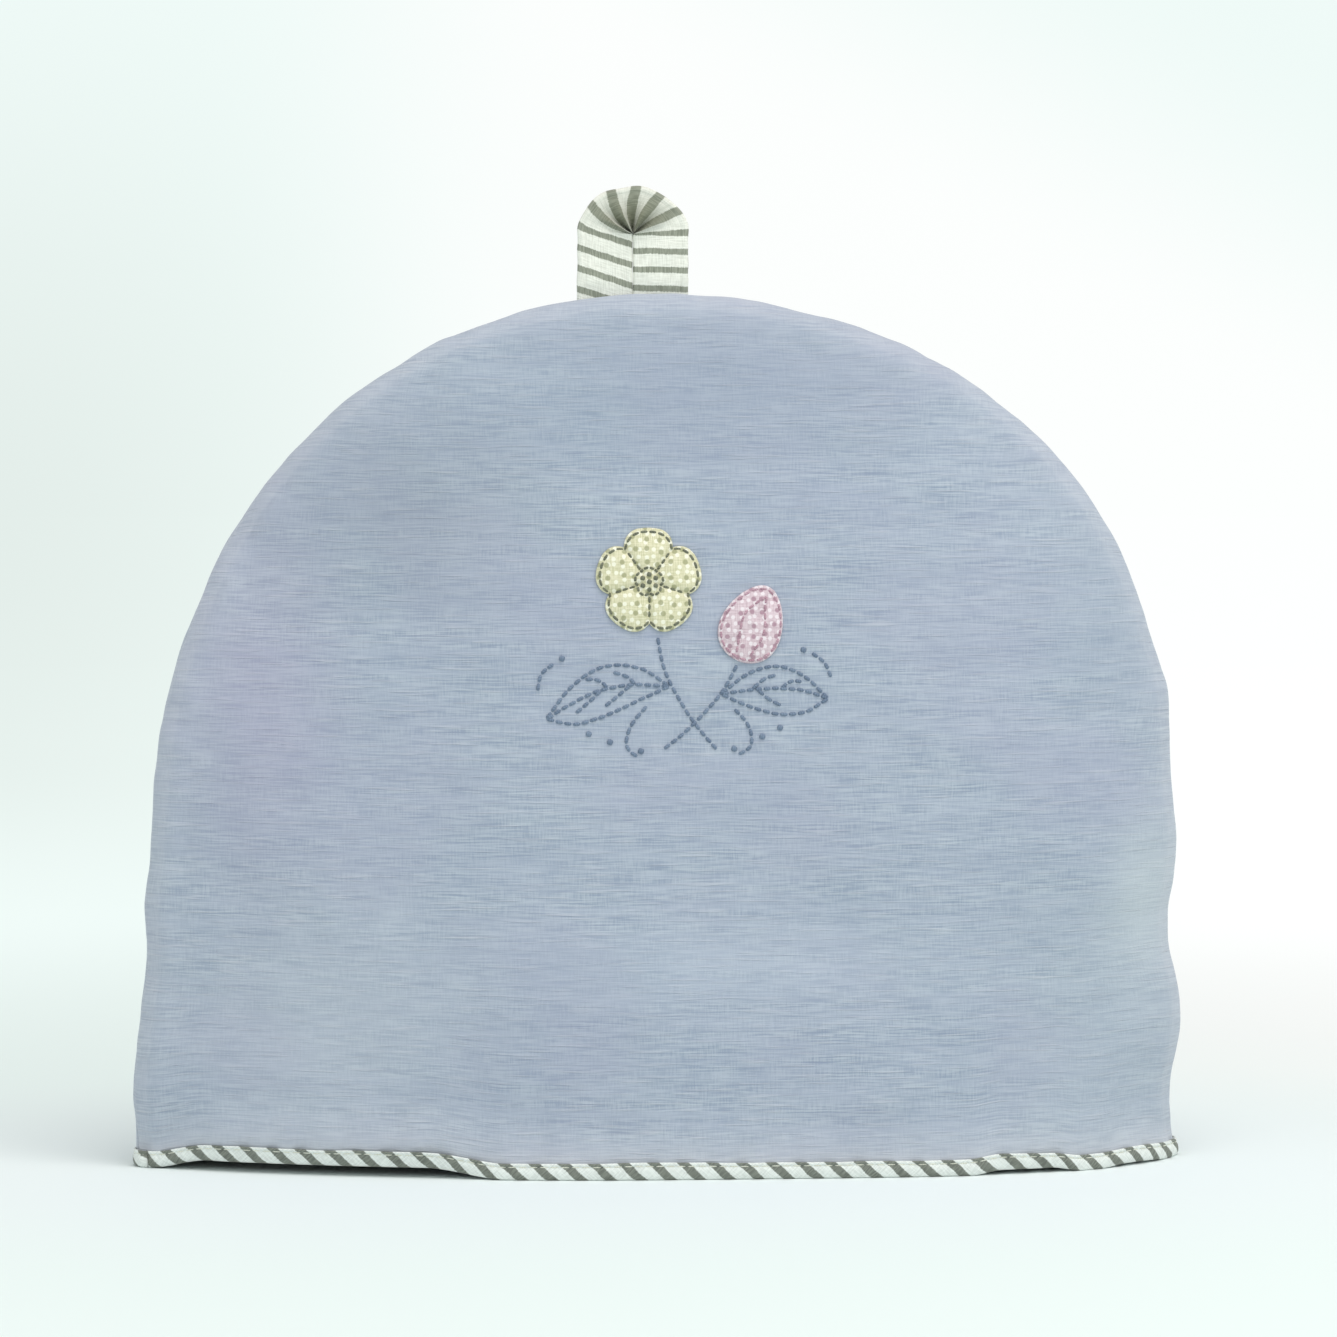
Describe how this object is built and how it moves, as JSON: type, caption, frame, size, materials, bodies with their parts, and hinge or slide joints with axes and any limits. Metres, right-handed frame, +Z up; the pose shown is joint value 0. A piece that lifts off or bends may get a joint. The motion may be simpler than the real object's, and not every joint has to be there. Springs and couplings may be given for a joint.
{
  "type": "tea cosy",
  "caption": "Wadded half-round cloth cover for a teapot, standing on its bound hem with its mouth open, with a flat hanging loop caught in the seam at the top.",
  "frame": {"origin": "on the surface that the hem rests on, under the middle of the mouth", "axes": "+X along the hem from the left seam to the right seam as seen from the front, +Y to the back, +Z up to the loop; the front faces -Y"},
  "size_m": [0.3298, 0.094, 0.3056],
  "materials": {
    "chambray": "matt plain weave, pale grey-blue, slubbed",
    "ticking_binding": "matt twill, natural with charcoal stripes, cut on the bias",
    "ticking_strap": "matt twill, natural with charcoal stripes",
    "yellow_cotton": "matt plain cotton, pale yellow",
    "pink_cotton": "matt plain cotton, dusty pink"
  },
  "bodies": {
    "root": {"front_panel": "chambray", "back_panel": "chambray", "hem_binding": "ticking_binding", "hanging_loop": "ticking_strap", "blossom_patch": "yellow_cotton", "bud_patch": "pink_cotton"}
  },
  "joints": []
}
